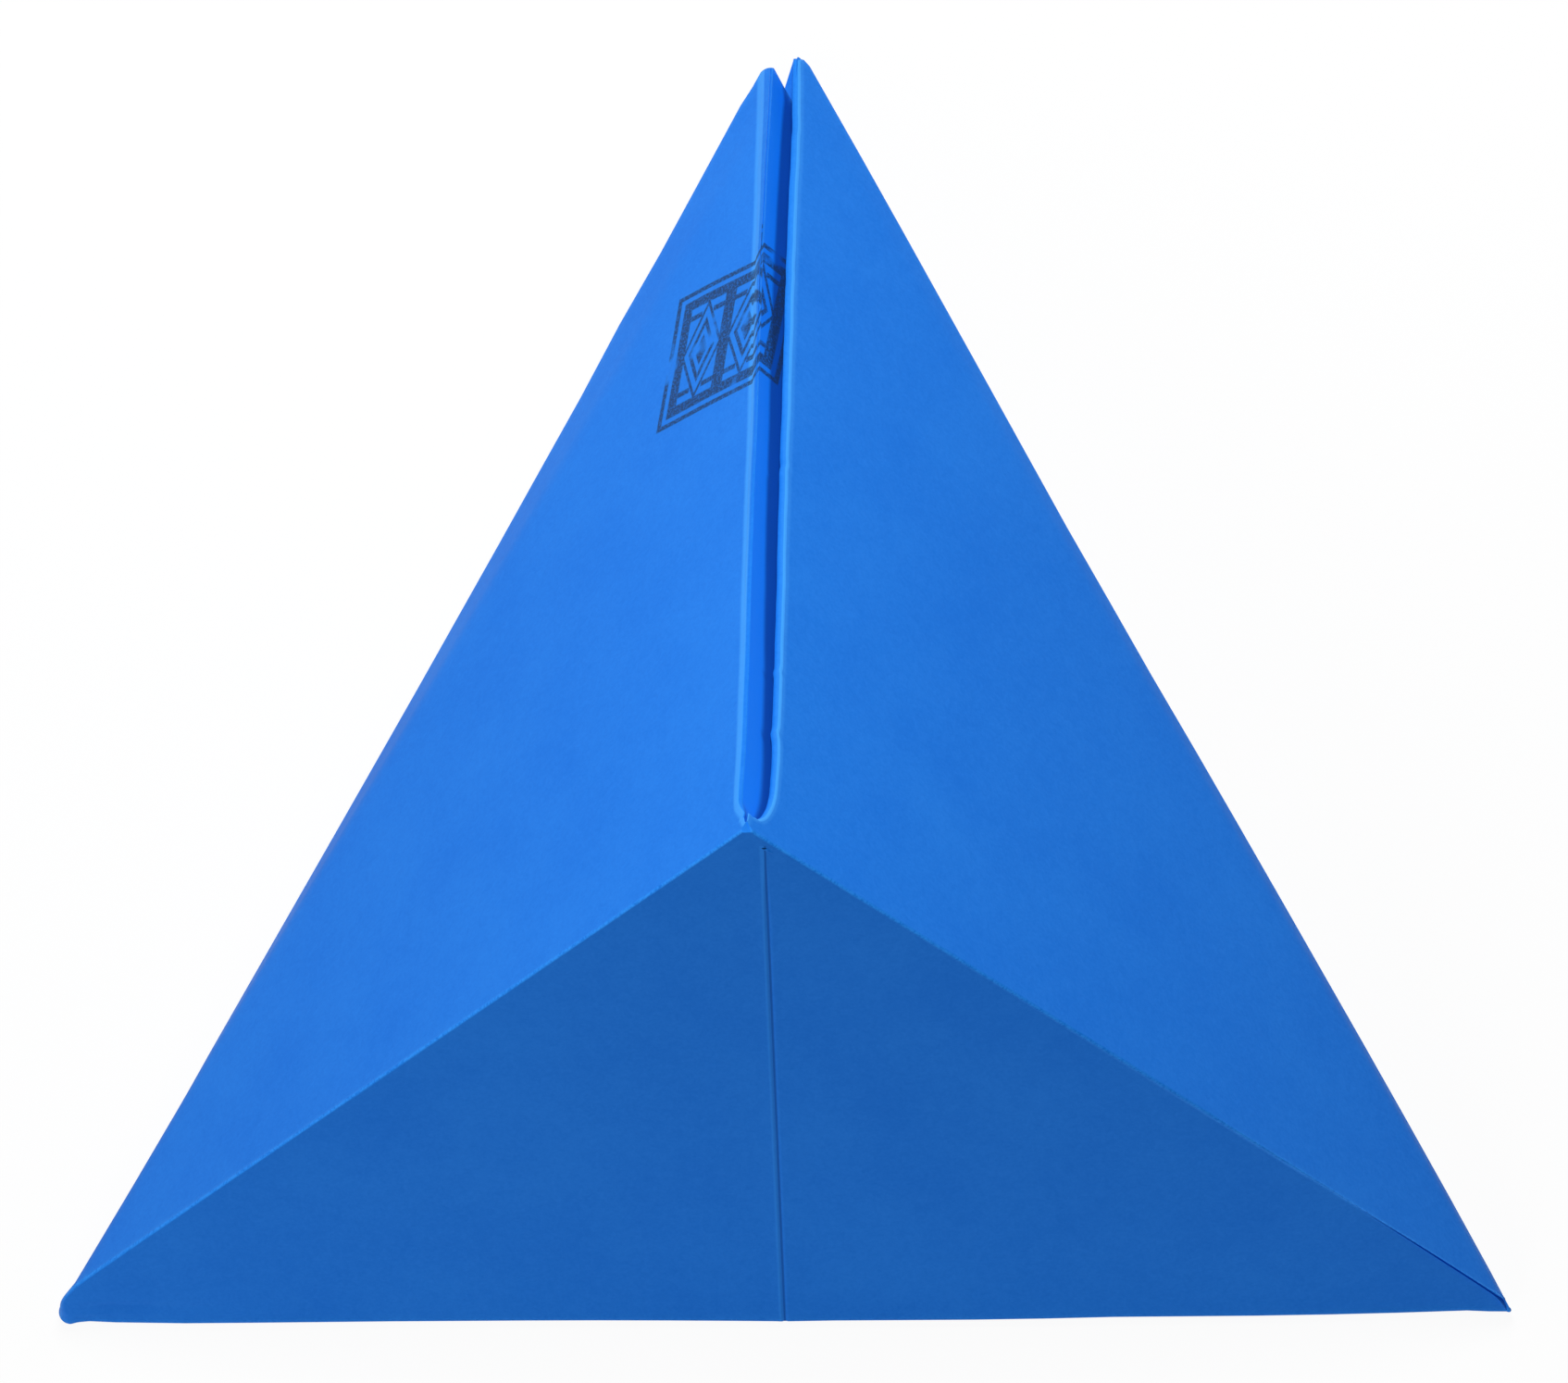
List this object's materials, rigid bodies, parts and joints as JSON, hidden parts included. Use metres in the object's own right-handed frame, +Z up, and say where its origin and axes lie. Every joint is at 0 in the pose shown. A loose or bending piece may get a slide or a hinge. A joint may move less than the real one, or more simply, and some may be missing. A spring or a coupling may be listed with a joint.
{
  "type": "origami pyramid box",
  "caption": "Closed three-sided pyramid folded from one square of blue card, with a pleat that leaves a narrow slit along one ridge.",
  "frame": {"origin": "on the floor straight below the apex, on the underside of the lowest flap", "axes": "+Z up through the apex, +X along the lower base line to the right-hand corner, +Y towards the two tips at the end of the slit"},
  "size_m": [0.1452, 0.1277, 0.0594],
  "materials": {
    "card": "matte"
  },
  "bodies": {
    "root": {"folded_card": "card"}
  },
  "joints": []
}
